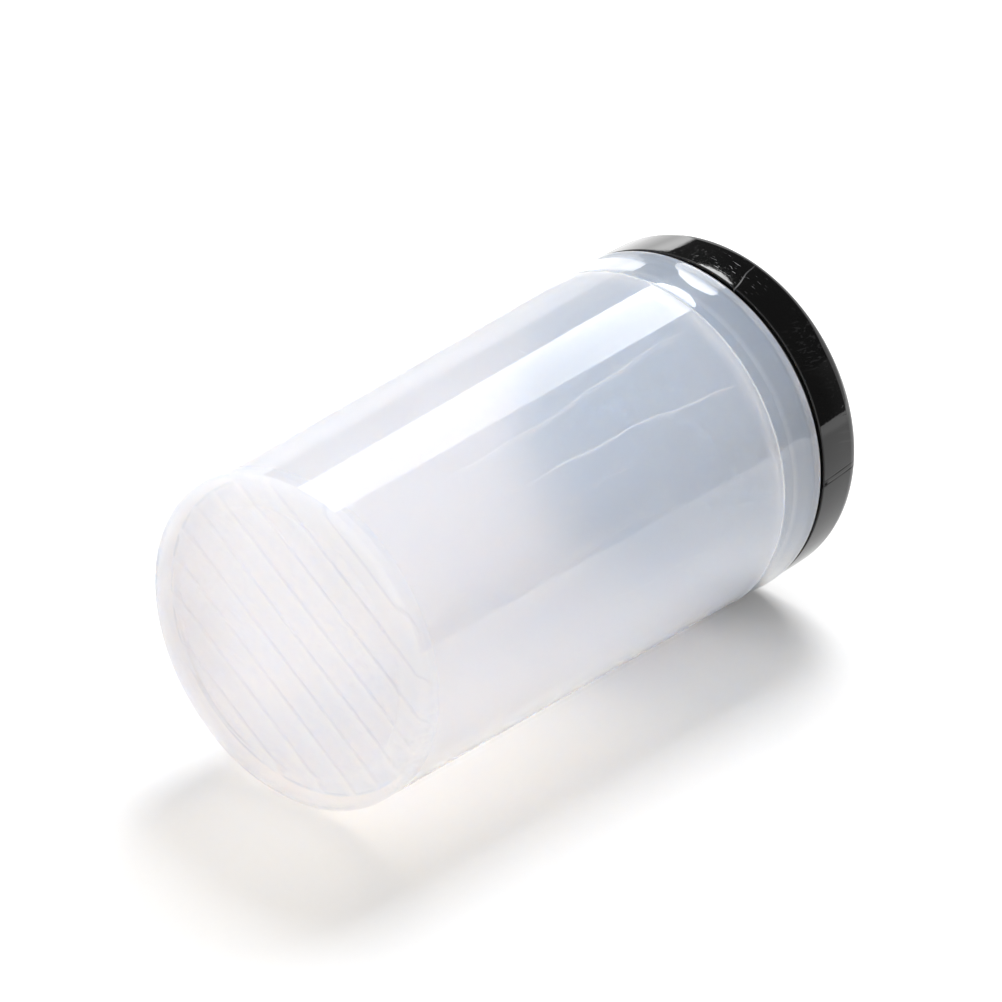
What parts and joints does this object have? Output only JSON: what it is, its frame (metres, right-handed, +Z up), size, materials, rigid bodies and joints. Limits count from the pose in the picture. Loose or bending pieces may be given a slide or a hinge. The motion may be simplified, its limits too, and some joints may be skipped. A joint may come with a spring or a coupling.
{
  "type": "brush cleaner cup",
  "caption": "Milky tapered wash cup with scrubbing ribs on its floor and a foot ring, closed by a glossy black screw lid with a plug skirt and a rubber ring.",
  "frame": {"origin": "centre of the foot ring, on the surface that the cup stands on", "axes": "+Z up along the cup's axis towards the lid; +X along the scrubbing ribs on the floor; +Y across them"},
  "size_m": [0.08, 0.08, 0.14],
  "materials": {
    "milky_plastic": "milky translucent polypropylene, glossy outside",
    "black_plastic": "polished black",
    "black_rubber": "matte black"
  },
  "bodies": {
    "cup": {"cup": "milky_plastic"},
    "seal": {"lid_gasket": "black_rubber"},
    "lid": {"lid": "black_plastic"}
  },
  "joints": [
    {"name": "lid_lift", "type": "slide", "parent": "cup", "child": "seal", "axis": [0, 0, 1], "range_m": [0, 0.0141]},
    {"name": "lid_turn", "type": "hinge", "parent": "seal", "child": "lid", "pos_m": [0, 0, 0.125], "axis": [0, 0, 1], "range_deg": [0, 1260]}
  ],
  "couplings": [
    {"joint": "lid_lift", "follows": "lid_turn", "m_per_rad": 0.00063662}
  ]
}
